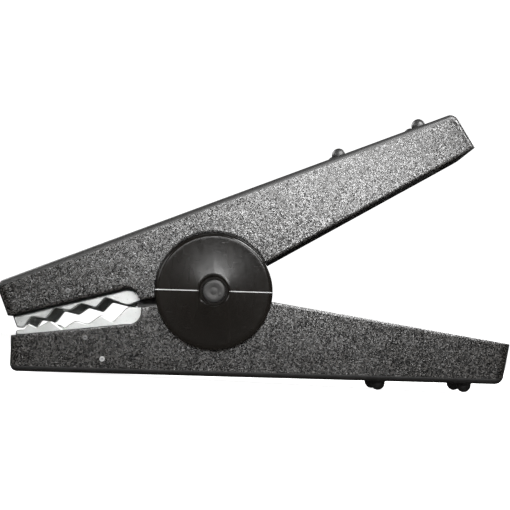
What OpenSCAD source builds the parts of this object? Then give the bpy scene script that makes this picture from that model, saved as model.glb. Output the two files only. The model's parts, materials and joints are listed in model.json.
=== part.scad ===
// Insulated alligator clip: two identical moulded shells cross at a round hub.
// Each half is drawn in its own frame: the pivot at the origin, X rearward along
// the back of the shell, Z outward to the back, Y across. The upper half is turned
// up by its slope, and the lower half is the same half turned over about X.

/* [Shell] */
// Width over the side faces
body_w = 14; // [13:0.5:18]
// Distance from the pivot to the back of a shell
back_h = 13.5; // [12.8:0.1:16.5]
// Length from the pivot to the front face
front_len = 32.1; // [30:0.5:40]
// Length from the pivot to the rear end, at the inner edge
rear_len = 47.4; // [42:0.5:60]
// Thickness of the side walls
side_wall = 1.6; // [1.2:0.1:2]
// Thickness of the back wall
back_wall = 1.8; // [1.4:0.1:2.2]
// Thickness of the front wall
front_wall = 0.9; // [0.7:0.1:1.5]
// Thickness of the rear wall
rear_wall = 1.6; // [1:0.1:2.5]
// Angle between the two backs with the jaws closed
closed_angle = 22; // [21:0.1:25]
// Angle between the back and the inner edge of a handle
handle_taper = 8.5; // [7:0.05:10]
// Angle between the back and the short edge in front of the hub
slot_taper = 14; // [13:0.1:18]
// Lean of the rear face
rear_lean = 10; // [0:1:15]
// Radius of the rounded long edges
edge_r = 0.8; // [0.4:0.1:1.2]
// Radius of the corners at the front and rear ends
corner_r = 1.2; // [0.8:0.1:1.6]

/* [Window] */
// Distance from the pivot to the centre of the round end of the jaw window
window_reach = 13.5; // [13:0.1:15]
// Height of that centre over the pivot
window_h = 3.55; // [3:0.05:4.5]
// Radius of the round end of the window
window_r = 2; // [1.5:0.1:2.5]
// Slope of the long edge of the window
window_slope = 7.1; // [5:0.1:9]

/* [Grip nubs] */
// Radius of a grip nub
nub_r = 1.15; // [0.8:0.05:1.6]
// Height of a nub over the back
nub_h = 1.5; // [1.2:0.1:2.5]
// Distance from the pivot to the front pair of nubs
nub_reach = 26.8; // [22:0.1:32]
// Distance between the two pairs
nub_pitch = 13.9; // [10:0.1:16]
// Distance between the two nubs of a pair
nub_gauge = 7.6; // [3:0.2:9]

/* [Hub] */
// Radius of the ears that overlap at the pivot
ear_r = 9.1; // [8.5:0.1:9.2]
// Thickness of the inner ears
ear_t = 1.5; // [1.2:0.1:1.8]
// Gap between an inner and an outer ear, filled by a washer
ear_gap = 0.4; // [0.3:0.05:0.6]
// Width of the rib that carries an inner ear
rib_w = 1.5; // [1:0.1:1.8]
// Radius of the hub caps
cap_r = 9.3; // [9:0.1:9.8]
// Thickness of the hub caps
cap_t = 1.5; // [1.3:0.1:2.5]
// Radius of the rounded rim of a cap
cap_rim_r = 1; // [0.5:0.1:1.2]
// Radius of the recess round the pin end
recess_r = 2.35; // [2.2:0.05:3]
// Depth of that recess
recess_d = 0.5; // [0.3:0.05:0.7]
// Width of the seam across a cap
seam_w = 0.25; // [0.15:0.05:0.4]
// Height of the seam
seam_h = 0.12; // [0.05:0.01:0.2]
// Radius of the pegs that hold a cap on its ear
peg_r = 0.8; // [0.6:0.05:1]
// Distance from the pivot to the pegs
peg_reach = 6.6; // [6:0.1:7]

/* [Pin and spring] */
// Radius of the pivot pin
pin_r = 1.85; // [1.4:0.05:2]
// Radius of the sleeve that carries the spring
sleeve_r = 3.1; // [2.8:0.1:3.4]
// Radius of the spring wire
wire_r = 0.5; // [0.3:0.05:0.6]
// Mean radius of the coils
coil_r = 4; // [3.8:0.1:5]
// Number of coils
coils = 4.5; // [3:0.5:5]
// Distance along the back at which a spring leg bears
leg_reach = 13; // [11:0.5:16]
// Outer radius of the washers between the ears
washer_r = 5.5; // [4.5:0.1:6]
// Outer radius of the push-on rings at the ends of the pin
ring_r = 3.2; // [2.8:0.1:3.6]
// Thickness of those rings
ring_t = 0.5; // [0.3:0.05:0.7]

/* [Jaws] */
// Width over a jaw insert
jaw_w = 10; // [8:0.5:10.4]
// Thickness of the jaw sheet
sheet_t = 0.8; // [0.6:0.05:1]
// Distance from the pivot to the nose of a jaw
nose_reach = 31.6; // [30:0.1:31.9]
// Distance from the pivot to the rear end of the jaw walls
jaw_rear = 11.1; // [10.9:0.1:11.4]
// Distance from the pivot to the rearmost tooth
tooth_reach = 18.7; // [18:0.1:19.5]
// Distance from tooth to tooth
tooth_pitch = 4.05; // [3.9:0.05:4.2]
// Heights of the tooth tips over the pivot, from rear to nose
tip_h = [4.2, 5.2, 5.3, 5.8]; // [3.5:0.05:6.5]
// Heights of the notches over the pivot, from rear to nose
notch_h = [5.2, 5.7, 6.6, 6.5]; // [4.5:0.05:7]
// Height of the rear lobe that meets the other jaw
lobe_h = 2.75; // [2.7:0.05:3]
// Rearward shift of the lower teeth, so that they pass the upper ones
lower_shift = 0.65; // [0.4:0.05:1]
// Width of the tail that runs back to the terminal
tail_w = 6.4; // [5:0.2:6.8]
// Distance from the pivot to the end of the tail
tail_reach = 23; // [22:0.5:25]

/* [Fastenings] */
// Distances from the pivot to the two jaw screws
jaw_screws_at = [16, 27]; // [14:0.5:28]
// Radius of the shank of the small screws
screw_r = 0.6; // [0.5:0.05:0.8]
// Radius of their heads
screw_head_r = 1.4; // [1.2:0.05:1.6]
// Height of their heads
screw_head_h = 0.8; // [0.6:0.05:1]
// Depth of the screw holes in the back wall
screw_depth = 1.1; // [0.8:0.1:1.2]
// Distance from the pivot to the wire terminal
terminal_reach = 19; // [18:0.5:20]
// Radius of the terminal screw
terminal_r = 1.25; // [1:0.05:1.5]
// Radius of its head
terminal_head_r = 2.5; // [2.2:0.1:3]
// Height of its head
terminal_head_h = 1.4; // [1:0.1:1.8]
// Radius of the threaded bush
bush_r = 2.2; // [1.9:0.1:2.6]
// Height of the threaded bush
bush_h = 1.8; // [1.4:0.1:2.2]
// Radius of the terminal washer
terminal_washer_r = 2.9; // [2.6:0.1:3.2]
// Thickness of the terminal washer
terminal_washer_t = 0.5; // [0.3:0.05:0.7]

/* [Cable entry] */
// Radius of the cable that the inlet takes
cable_r = 1.45; // [1:0.05:1.5]
// Wall of the inlet grommet
grommet_wall = 0.4; // [0.3:0.05:0.5]
// Width of the grommet's lips beyond its neck
grommet_lip = 0.3; // [0.2:0.05:0.4]
// Distance from the pivot to the cable clamp
clamp_reach = 33; // [31:0.5:34]
// Distance between the clamp screws
clamp_gauge = 7.2; // [6.8:0.1:7.4]
// Width of the clamp bar along the handle
clamp_w = 4; // [3.4:0.1:5]
// Thickness of the clamp bar
clamp_t = 1.2; // [0.8:0.1:1.4]
// Radius of the clamp posts
post_r = 1.5; // [1.3:0.05:1.7]

/* [Fits] */
// Radial clearance of turning fits
turn_fit = 0.06; // [0.03:0.01:0.1]
// Radial clearance of fixed fits
push_fit = 0.03; // [0.02:0.01:0.06]
// Gap between a shell and the other shell's ear
ear_clearance = 0.3; // [0.2:0.05:0.4]
// Axial play of washers and sleeve
play = 0.05; // [0.03:0.01:0.1]

/* [Hidden] */
$fn = 64;

half_w = body_w / 2;
channel_half = half_w - side_wall;
floor_z = back_h - back_wall;
far = 80;
eps = 0.01;
over = 1;       // How far a cutting tool passes the surface it cuts
slack = 0.15;   // Radial room round shanks and rings that must not touch
driver_w = 0.4; // Slot of the small screws
driver_d = 0.4;
terminal_driver_w = 0.6;
terminal_driver_d = 0.7;

// Rear end: the inner corner, and the centre of the round outer corner
rear_z = rear_len * tan(handle_taper);
rear_corner_z = back_h - corner_r;
rear_corner_x = rear_len - (rear_corner_z - rear_z) * tan(rear_lean) - corner_r / cos(rear_lean);

// Jaw window: the point where its long edge meets its round end
window_x = -window_reach;
window_tangent = [window_x + window_r * sin(window_slope), window_h + window_r * cos(window_slope)];
function window_edge(x) = window_tangent[1] + (window_tangent[0] - x) * tan(window_slope);

// Layers of the hub, out from the middle plane
inner_ear_out = channel_half - ear_gap;
inner_ear_in = inner_ear_out - ear_t;
cap_out = half_w + cap_t;
pin_rise = 0.15; // Height of the pin end over the floor of the recess
pin_half = cap_out - recess_d + pin_rise;
sleeve_half = inner_ear_in - play;
coil_half = coils * wire_r;
peg_l = 1;

// Jaw insert
jaw_z = floor_z;
jaw_in_z = jaw_z - sheet_t;
nose_front = -nose_reach;
jaw_front = -(front_len - front_wall) + play;
nose_rim = 0.1; // What the nose shows below the window's edge
nose_step_z = window_edge(nose_front) - nose_rim;
nose_slope = 0.9;
nose_fold = 0.6; // Depth of the front wall of the insert below its step
lobe_front = window_reach + 0.3;
tail_lap = 1;
web_hole_r = screw_r + 2 * slack;

// Wire terminal, stacked inward from the tail
bush_in_z = jaw_in_z - bush_h;
terminal_head_z = bush_in_z - terminal_washer_t;

// Cable entry
inlet_r = cable_r + grommet_wall;
inlet_z = floor_z - inlet_r - grommet_lip - play;
clamp_bite = 0.1; // How far the clamp bar presses into the cable
clamp_end = 1.1; // From a clamp screw to the end of the bar
post_z = inlet_z - cable_r + clamp_bite;
clamp_l = clamp_gauge + 2 * clamp_end;
lip_t = 0.5;
neck = rear_wall / cos(rear_lean);
rear_inner_x = rear_len - (inlet_z - rear_z) * tan(rear_lean) - neck;

// Spring leg: it leaves the coil at a tangent, and the edge of its end bears on the
// tail of the jaw. A first guess of the slope gives the height of that edge.
// The leg's root lies a little under the outer skin of the coil.
leg_gap = 0.02;
leg_sink = 0.04;
leg_root = coil_r - leg_sink;
leg_y = coil_half - wire_r - leg_sink;
function slope_to(z) = atan2(z, leg_reach) - asin(leg_root / norm([leg_reach, z]));
leg_z = jaw_in_z - leg_gap - wire_r * cos(slope_to(jaw_in_z - wire_r));
leg_angle = slope_to(leg_z);
leg_len = sqrt(leg_reach * leg_reach + leg_z * leg_z - leg_root * leg_root);

// The clip stands on its front corner and its front pair of lower nubs:
// the line that touches both round ends is level
foot_front = [-front_len + corner_r, back_h - corner_r];
foot_rear = [nub_reach, back_h + nub_h - nub_r];
foot_run = foot_rear - foot_front;
lower_slope = -atan2(foot_run[1], foot_run[0]) - asin((nub_r - corner_r) / norm(foot_run));
rise = -lower_slope;
upper_slope = closed_angle + rise;
pivot_z = foot_front[1] * cos(rise) - foot_front[0] * sin(rise) + corner_r;
rear_out = rear_len * cos(rise) + rear_z * sin(rise);
front_out = -foot_front[0] * cos(upper_slope) + foot_front[1] * sin(upper_slope) + corner_r;
pivot_x = (front_out - rear_out) / 2;

// A half's own frame, in place
module upper_half() {
    translate([pivot_x, 0, pivot_z])
        rotate([0, -upper_slope, 0])
            children();
}

module lower_half() {
    translate([pivot_x, 0, pivot_z])
        rotate([0, -rise, 0])
            rotate([180, 0, 0])
                children();
}

// A flat shape in X and Z, drawn out across the clip between two Y values
module across(y0, y1) {
    translate([0, y1, 0])
        rotate([90, 0, 0])
            linear_extrude(y1 - y0)
                children();
}

// A round bar across the clip
module bar(r, y0, y1) {
    translate([0, y1, 0])
        rotate([90, 0, 0])
            cylinder(r = r, h = y1 - y0);
}

module ring(r_out, r_in, y0, y1) {
    difference() {
        bar(r_out, y0, y1);
        bar(r_in, y0 - over, y1 + over);
    }
}

// Side view of a shell, with its inner edges running out from the pivot
module side_outline() {
    difference() {
        union() {
            polygon([
                [0, 0],
                [rear_len, rear_z],
                [rear_corner_x + corner_r * cos(rear_lean), rear_corner_z + corner_r * sin(rear_lean)],
                [rear_corner_x, rear_corner_z],
                [rear_corner_x, back_h],
                [-front_len + corner_r, back_h],
                [-front_len + corner_r, rear_corner_z],
                [-front_len, rear_corner_z],
                [-front_len, front_len * tan(slot_taper)]
            ]);
            translate([rear_corner_x, rear_corner_z])
                circle(r = corner_r);
            translate([-front_len + corner_r, rear_corner_z])
                circle(r = corner_r);
        }
        window_outline();
    }
}

module window_outline() {
    translate([window_x, window_h])
        circle(r = window_r);
    polygon([
        [-far, window_edge(-far)],
        window_tangent,
        [window_x, window_h],
        [window_x + window_r, window_h],
        [window_x + window_r, -far],
        [-far, -far]
    ]);
}

// End view: the long outer edges are rounded
module end_outline() {
    for (side = [-1, 1])
        translate([side * (half_w - edge_r), back_h - edge_r])
            circle(r = edge_r);
    translate([-half_w, -far])
        square([body_w, back_h - edge_r + far]);
    translate([-half_w + edge_r, -far])
        square([body_w - 2 * edge_r, back_h + far]);
}

// Plan view of one end: its upright edges are rounded
module plan_outline() {
    for (side = [-1, 1])
        translate([-edge_r, side * (half_w - edge_r)])
            circle(r = edge_r);
    translate([-2 * far, -half_w])
        square([2 * far - edge_r, body_w]);
    translate([-2 * far, -half_w + edge_r])
        square([2 * far, body_w - 2 * edge_r]);
}

module shell_block() {
    intersection() {
        across(-half_w, half_w)
            side_outline();
        translate([-far, 0, 0])
            rotate([90, 0, 90])
                linear_extrude(2 * far)
                    end_outline();
        translate([rear_len, 0, rear_z])
            rotate([0, -rear_lean, 0])
                translate([0, 0, -far])
                    linear_extrude(2 * far)
                        plan_outline();
        translate([-front_len, 0, -far])
            mirror([1, 0, 0])
                linear_extrude(2 * far)
                    plan_outline();
    }
}

// The hollow between the walls of a shell
module channel() {
    intersection() {
        translate([-front_len + front_wall, -channel_half, -far])
            cube([2 * far, 2 * channel_half, far + floor_z]);
        translate([rear_len - neck, 0, rear_z])
            rotate([0, -rear_lean, 0])
                translate([-2 * far, -far, -far])
                    cube([2 * far, 2 * far, 2 * far]);
    }
}

// The inner ear hangs on a rib behind the other shell's outer ear
module inner_ear() {
    across(-inner_ear_out, -inner_ear_in) {
        circle(r = ear_r);
        intersection() {
            side_outline();
            circle(r = ear_r + ear_clearance + rib_w);
        }
    }
    across(-channel_half - eps, -inner_ear_out)
        difference() {
            intersection() {
                side_outline();
                circle(r = ear_r + ear_clearance + rib_w);
            }
            circle(r = ear_r + ear_clearance);
        }
}

module peg_places() {
    for (turn = [30, 150, 270])
        rotate([0, turn, 0])
            translate([peg_reach, 0, 0])
                children();
}

module nubs() {
    neck_h = nub_h - nub_r + edge_r;
    for (reach = [nub_reach, nub_reach + nub_pitch])
        for (side = [-1, 1])
            translate([reach, side * nub_gauge / 2, back_h - edge_r]) {
                cylinder(r = nub_r, h = neck_h);
                translate([0, 0, neck_h])
                    sphere(r = nub_r);
            }
}

module clamp_posts() {
    for (side = [-1, 1])
        translate([clamp_reach, side * clamp_gauge / 2, post_z])
            cylinder(r = post_r, h = floor_z - post_z + eps);
}

module shell() {
    difference() {
        union() {
            difference() {
                shell_block();
                channel();
                bar(ear_r + ear_clearance, -half_w - over, -channel_half + eps);
            }
            bar(ear_r, channel_half, half_w);
            inner_ear();
            nubs();
            clamp_posts();
        }
        bar(pin_r + turn_fit, -half_w - over, half_w + over);
        peg_places()
            bar(peg_r + push_fit, half_w - peg_l - play, half_w + over);
        for (reach = jaw_screws_at)
            translate([-reach, 0, floor_z - over])
                cylinder(r = screw_r + push_fit, h = screw_depth + over);
        for (side = [-1, 1])
            translate([clamp_reach, side * clamp_gauge / 2, post_z - over])
                cylinder(r = screw_r + push_fit, h = floor_z - post_z + over);
        translate([rear_inner_x - over, 0, inlet_z])
            rotate([0, 90, 0])
                cylinder(r = inlet_r + push_fit, h = far);
    }
}

// Toothed edge of a jaw wall, rear to nose, shifted rearward
function teeth(shift) = [
    for (k = [0:3])
        for (p = [
            [-tooth_reach + tooth_pitch / 2 - k * tooth_pitch + shift, notch_h[k]],
            [-tooth_reach - k * tooth_pitch + shift, tip_h[k]]
        ]) p
];

module jaw_wall(shift) {
    nose_tip_x = -tooth_reach - 3 * tooth_pitch + shift;
    polygon(concat(
        [[-jaw_rear, jaw_z], [-jaw_rear, lobe_h], [-lobe_front, lobe_h]],
        teeth(shift),
        [
            [nose_front, tip_h[3] + (nose_tip_x - nose_front) * nose_slope],
            [nose_front, nose_step_z],
            [jaw_front, nose_step_z],
            [jaw_front, jaw_z]
        ]
    ));
}

module jaw(shift) {
    half = jaw_w / 2;
    difference() {
        union() {
            across(half - sheet_t, half)
                jaw_wall(shift);
            across(-half, -half + sheet_t)
                jaw_wall(shift);
            translate([jaw_front, -half, jaw_in_z])
                cube([-jaw_rear - jaw_front, jaw_w, sheet_t]);
            translate([jaw_front, -half, nose_step_z - nose_fold])
                cube([sheet_t, jaw_w, jaw_z - nose_step_z + nose_fold]);
            translate([-jaw_rear - tail_lap, -tail_w / 2, jaw_in_z])
                cube([tail_reach + jaw_rear + tail_lap, tail_w, sheet_t]);
        }
        for (reach = jaw_screws_at)
            translate([-reach, 0, jaw_in_z - over])
                cylinder(r = web_hole_r, h = sheet_t + 2 * over);
        translate([terminal_reach, 0, jaw_in_z - over])
            cylinder(r = terminal_r + slack, h = sheet_t + 2 * over);
    }
}

// A slotted screw, its head seated at the origin and its shank outward
module slotted_screw(r, reach, head_r, head_h, slot_w, slot_d) {
    difference() {
        union() {
            translate([0, 0, -head_h])
                cylinder(r = head_r, h = head_h);
            translate([0, 0, -eps])
                cylinder(r = r, h = reach + eps);
        }
        translate([-head_r, -slot_w / 2, -head_h - over])
            cube([2 * head_r, slot_w, slot_d + over]);
    }
}

module small_screw(reach) {
    slotted_screw(screw_r, reach, screw_head_r, screw_head_h, driver_w, driver_d);
}

module jaw_screw_pair() {
    for (reach = jaw_screws_at)
        translate([-reach, 0, jaw_in_z])
            small_screw(sheet_t + screw_depth - 2 * play);
}

// Half section of a cap, standing on the side face of its shell
module cap_section() {
    translate([0, half_w])
        square([cap_r, cap_t - cap_rim_r]);
    translate([0, half_w])
        square([cap_r - cap_rim_r, cap_t]);
    intersection() {
        translate([cap_r - cap_rim_r, cap_out - cap_rim_r])
            circle(r = cap_rim_r);
        translate([0, half_w])
            square([cap_r, cap_t]);
    }
}

// Cap on the outer ear, its seam along the back of its shell
module hub_cap() {
    difference() {
        union() {
            rotate([-90, 0, 0])
                rotate_extrude()
                    cap_section();
            translate([-cap_r + cap_rim_r, cap_out - seam_h, -seam_w / 2])
                cube([2 * (cap_r - cap_rim_r), 2 * seam_h, seam_w]);
            peg_places()
                bar(peg_r, half_w - peg_l, half_w + cap_t / 2);
        }
        bar(recess_r, cap_out - recess_d, cap_out + over);
        bar(pin_r + push_fit, half_w - over, cap_out);
        bar(ring_r + slack, half_w - over, half_w + ring_t + 2 * play);
    }
}

module lower_shell() {
    color("#2a2827")
        lower_half()
            shell();
}

module upper_shell() {
    color("#34322f")
        upper_half()
            shell();
}

module lower_jaw() {
    color("#c9cac8")
        lower_half()
            jaw(lower_shift);
}

module upper_jaw() {
    color("#d4d5d2")
        upper_half()
            jaw(0);
}

module near_hub_cap() {
    color("#1b1717")
        lower_half()
            hub_cap();
}

module far_hub_cap() {
    color("#1b1717")
        upper_half()
            hub_cap();
}

module pivot_pin() {
    color("#6c6a68")
        lower_half()
            bar(pin_r, -pin_half, pin_half);
}

// Push-on rings, one under each cap
module pin_rings() {
    color("#8d8f90")
        lower_half()
            for (side = [0, 180])
                rotate([side, 0, 0])
                    ring(ring_r, pin_r + push_fit, half_w + play, half_w + play + ring_t);
}

module spring_sleeve() {
    color("#d8d2c0")
        lower_half()
            ring(sleeve_r, pin_r + turn_fit, -sleeve_half, sleeve_half);
}

// The coil as a plain tube, with one leg for each half
module spring_leg() {
    translate([0, leg_y, 0])
        rotate([0, -leg_angle, 0])
            translate([0, 0, leg_root])
                rotate([0, 90, 0])
                    cylinder(r = wire_r, h = leg_len);
}

module torsion_spring() {
    color("#9b9c9d") {
        lower_half() {
            ring(coil_r + wire_r, coil_r - wire_r, -coil_half, coil_half);
            spring_leg();
        }
        upper_half()
            spring_leg();
    }
}

module ear_washer() {
    ring(washer_r, pin_r + turn_fit, inner_ear_out + play, channel_half - play);
}

module near_ear_washer() {
    color("#b9b39f")
        lower_half()
            ear_washer();
}

module far_ear_washer() {
    color("#b9b39f")
        upper_half()
            ear_washer();
}

module lower_jaw_screws() {
    color("#a9aaa8")
        lower_half()
            jaw_screw_pair();
}

module upper_jaw_screws() {
    color("#a9aaa8")
        upper_half()
            jaw_screw_pair();
}

module terminal_bush() {
    color("#b5954c")
        lower_half()
            translate([terminal_reach, 0, bush_in_z])
                difference() {
                    cylinder(r = bush_r, h = bush_h);
                    translate([0, 0, -over])
                        cylinder(r = terminal_r + push_fit, h = bush_h + 2 * over);
                }
}

module terminal_washer() {
    color("#a9aaa8")
        lower_half()
            translate([terminal_reach, 0, terminal_head_z])
                difference() {
                    cylinder(r = terminal_washer_r, h = terminal_washer_t);
                    translate([0, 0, -over])
                        cylinder(r = terminal_r + slack, h = terminal_washer_t + 2 * over);
                }
}

module terminal_screw() {
    color("#a9aaa8")
        lower_half()
            translate([terminal_reach, 0, terminal_head_z])
                slotted_screw(terminal_r, floor_z - terminal_head_z - 2 * play, terminal_head_r,
                    terminal_head_h, terminal_driver_w, terminal_driver_d);
}

module cable_clamp() {
    color("#3b3937")
        lower_half()
            difference() {
                translate([clamp_reach - clamp_w / 2, -clamp_l / 2, post_z - clamp_t])
                    cube([clamp_w, clamp_l, clamp_t]);
                translate([clamp_reach - far, 0, inlet_z])
                    rotate([0, 90, 0])
                        cylinder(r = cable_r, h = 2 * far);
                for (side = [-1, 1])
                    translate([clamp_reach, side * clamp_gauge / 2, post_z - clamp_t - over])
                        cylinder(r = screw_r + slack, h = clamp_t + 2 * over);
            }
}

module clamp_screws() {
    color("#a9aaa8")
        lower_half()
            for (side = [-1, 1])
                translate([clamp_reach, side * clamp_gauge / 2, post_z - clamp_t])
                    small_screw(clamp_t + floor_z - post_z - 2 * play);
}

// Soft bush in the rear wall, a lip on each side
module inlet_grommet() {
    color("#171615")
        lower_half()
            difference() {
                intersection() {
                    translate([rear_inner_x - neck, 0, inlet_z])
                        rotate([0, 90, 0])
                            cylinder(r = inlet_r + grommet_lip, h = 3 * neck);
                    union() {
                        translate([rear_inner_x - play, 0, inlet_z])
                            rotate([0, -rear_lean, 0])
                                translate([-lip_t, -far, -far])
                                    cube([lip_t, 2 * far, 2 * far]);
                        translate([rear_inner_x - lip_t / 2, 0, inlet_z])
                            rotate([0, 90, 0])
                                cylinder(r = inlet_r, h = neck + lip_t / 2);
                    }
                }
                translate([rear_inner_x - far, 0, inlet_z])
                    rotate([0, 90, 0])
                        cylinder(r = cable_r + turn_fit, h = 2 * far);
            }
}

lower_shell();
upper_shell();
lower_jaw();
upper_jaw();
near_hub_cap();
far_hub_cap();
pivot_pin();
pin_rings();
spring_sleeve();
torsion_spring();
near_ear_washer();
far_ear_washer();
lower_jaw_screws();
upper_jaw_screws();
terminal_bush();
terminal_washer();
terminal_screw();
cable_clamp();
clamp_screws();
inlet_grommet();
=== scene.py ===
import json
import math

import bpy
import numpy as np
from mathutils import Matrix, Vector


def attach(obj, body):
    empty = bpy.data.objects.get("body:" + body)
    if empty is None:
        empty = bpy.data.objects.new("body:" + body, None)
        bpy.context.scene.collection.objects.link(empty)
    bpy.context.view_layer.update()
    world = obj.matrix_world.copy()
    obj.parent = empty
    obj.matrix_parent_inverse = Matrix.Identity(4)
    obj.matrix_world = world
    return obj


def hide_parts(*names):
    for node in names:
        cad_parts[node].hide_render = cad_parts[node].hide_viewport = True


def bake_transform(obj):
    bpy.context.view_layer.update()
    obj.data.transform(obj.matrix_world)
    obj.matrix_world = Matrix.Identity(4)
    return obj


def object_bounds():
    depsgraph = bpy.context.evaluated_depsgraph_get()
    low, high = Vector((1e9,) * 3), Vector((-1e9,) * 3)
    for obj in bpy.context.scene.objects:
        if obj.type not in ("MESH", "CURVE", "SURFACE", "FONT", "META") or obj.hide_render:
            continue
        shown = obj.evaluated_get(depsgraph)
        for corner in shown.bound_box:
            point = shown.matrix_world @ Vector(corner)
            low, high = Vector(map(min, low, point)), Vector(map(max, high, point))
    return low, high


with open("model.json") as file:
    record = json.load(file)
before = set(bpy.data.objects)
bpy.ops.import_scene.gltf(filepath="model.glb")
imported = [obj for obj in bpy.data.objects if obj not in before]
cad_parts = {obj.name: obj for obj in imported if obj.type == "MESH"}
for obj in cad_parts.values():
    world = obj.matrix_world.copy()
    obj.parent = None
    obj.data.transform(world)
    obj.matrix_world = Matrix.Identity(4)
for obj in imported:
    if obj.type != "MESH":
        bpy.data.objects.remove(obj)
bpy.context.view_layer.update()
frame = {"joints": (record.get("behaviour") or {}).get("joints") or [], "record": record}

mm = 0.001
halfTurn = math.pi

# ---- where things are ----
jawJoint = [j for j in frame["joints"] if j["name"] == "jaw_pivot"][0]
pivot = np.array(jawJoint["pos_m"])
mountAxes = {m["name"]: m["axis"] for m in frame["record"]["mounts"]}


# The rows are a half's own X (rearward along its back), Y (across) and Z (outward), in the clip's frame
def halfAxes(inletMount, turnedOver):
    c, s = mountAxes[inletMount][0], mountAxes[inletMount][2]
    if turnedOver:
        return np.array([[c, 0, s], [0, -1, 0], [s, 0, -c]])
    return np.array([[c, 0, s], [0, 1, 0], [-s, 0, c]])


lowerAxes = halfAxes("cable_inlet", True)
upperAxes = halfAxes("spare_inlet", False)
lowerBody, upperBody = "lower_half", "upper_half"
halves = {"lower": (lowerAxes, lowerBody), "upper": (upperAxes, upperBody)}
print("pivot at", np.round(pivot / mm, 3), "mm")


# ---- surfaces ----
surfaceValues = {
    "cornerShare": 0.45,    # how much of an edge one soft corner may take
    "sharpest": 0.6,        # limits how far an inset point runs out at a sharp corner
    "tuck": 1.4,            # a plate's flat faces start this many rims in from the outline
    "sharpAngle": 34,       # degrees between faces from which an edge is drawn hard
}


# A part is a dictionary: points, groups of faces and marks (per-point numbers for the finishes)
def signedVolume(points, faces):
    total = 0.0
    for group in faces:
        for k in range(1, group.shape[1] - 1):
            a, b, c = points[group[:, 0]], points[group[:, k]], points[group[:, k + 1]]
            total += float(np.einsum("ij,ij->i", a, np.cross(b, c)).sum())
    return total / 6


# Quads between neighbouring rows of a grid; the rows are closed loops, and flat faces close the first and last
def skin(rows, loop=False, grain=0.0, gate=0.0):
    count, around = rows.shape[:2]
    index = np.arange(count * around).reshape(count, around)
    following = np.roll(index, -1, 1)
    upper = np.roll(index, -1, 0) if loop else index[1:]
    upperNext = np.roll(following, -1, 0) if loop else following[1:]
    lower, lowerNext = (index, following) if loop else (index[:-1], following[:-1])
    quads = np.stack([lower, lowerNext, upperNext, upper], -1).reshape(-1, 4)
    faces = [quads] if loop else [quads, index[:1, ::-1], index[-1:]]
    points = rows.reshape(-1, 3)
    if signedVolume(points, faces) < 0:
        faces = [f[:, ::-1] for f in faces]
    shade = np.broadcast_to(grain, (count, around)).ravel()
    return {"points": points, "faces": faces, "grain": shade, "gate": np.full(len(points), float(gate))}


# A profile of radius and height turned about an axis; a closed profile makes a ring
def turned(profile, centre=(0, 0, 0), axis="z", steps=64, ring=False, lean=0.0, gate=0.0):
    profile = np.asarray(profile, float)
    angle = np.linspace(0, 2 * halfTurn, steps, endpoint=False)
    r, h = profile[:, 0, None], profile[:, 1, None] + 0 * angle
    a, b = r * np.cos(angle), r * np.sin(angle)
    order = {"x": (h - b * lean, a, b), "y": (b, h, a), "z": (a, b, h)}[axis]
    return skin(np.stack(order, -1) + np.asarray(centre, float), ring, gate=gate)


# Corners become short curves: each runs from one edge to the next, drawn toward the corner
def softCorners(outline, radius, steps=4):
    p = np.asarray(outline, float)
    radius = np.broadcast_to(np.asarray(radius, float), len(p))[:, None]
    back, on = np.roll(p, 1, 0) - p, np.roll(p, -1, 0) - p
    backLength = np.linalg.norm(back, axis=1, keepdims=True)
    onLength = np.linalg.norm(on, axis=1, keepdims=True)
    share = surfaceValues["cornerShare"]
    start = p + back / backLength * np.minimum(radius, share * backLength)
    end = p + on / onLength * np.minimum(radius, share * onLength)
    t = np.linspace(0, 1, steps + 1)[None, :, None]
    curve = (1 - t) ** 2 * start[:, None] + 2 * t * (1 - t) * p[:, None] + t ** 2 * end[:, None]
    return curve.reshape(-1, 2)


# The outline moved inward along the mean of its two edge normals
def inset(outline, distance):
    on = np.roll(outline, -1, 0) - outline
    on /= np.linalg.norm(on, axis=1, keepdims=True)
    area = np.cross(outline, np.roll(outline, -1, 0)).sum()
    normal = np.stack([-on[:, 1], on[:, 0]], -1) * np.sign(area)
    mean = normal + np.roll(normal, 1, 0)
    mean /= np.maximum(np.linalg.norm(mean, axis=1, keepdims=True), 1e-6)
    return outline + mean * distance / np.maximum((mean * normal).sum(1, keepdims=True), surfaceValues["sharpest"])


# A flat outline given thickness, its two rims rounded by a quarter circle; axes says which way it faces
def plate(outline, low, high, rim=0.12, axes="xzy", centre=(0, 0, 0), steps=3):
    t = np.linspace(0, halfTurn / 2, steps + 1)
    drop, lift = rim * (1 - np.sin(t)), rim * (1 - np.cos(t))
    tuck = surfaceValues["tuck"] * rim
    ways = [(tuck, low), *zip(drop, low + lift), *zip(drop[::-1], high - lift[::-1]), (tuck, high)]
    rows = np.array([np.column_stack([inset(outline, d), np.full(len(outline), h)]) for d, h in ways])
    place = {"xzy": [0, 2, 1], "xyz": [0, 1, 2], "yzx": [2, 0, 1]}[axes]
    return skin(rows[..., place] + np.asarray(centre, float))


# A round wire: circles carried along a path, square to it, kept from twisting by one fixed sideways direction
def wire(path, radius, side, steps=14):
    along = np.gradient(path, axis=0)
    along /= np.linalg.norm(along, axis=1, keepdims=True)
    across = side - along * (along @ side)[:, None]
    across /= np.linalg.norm(across, axis=1, keepdims=True)
    up = np.cross(along, across)
    angle = np.linspace(0, 2 * halfTurn, steps, endpoint=False)
    circle = across[:, None] * np.cos(angle)[None, :, None] + up[:, None] * np.sin(angle)[None, :, None]
    return skin(path[:, None] + circle * np.asarray(radius).reshape(-1, 1, 1))


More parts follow.
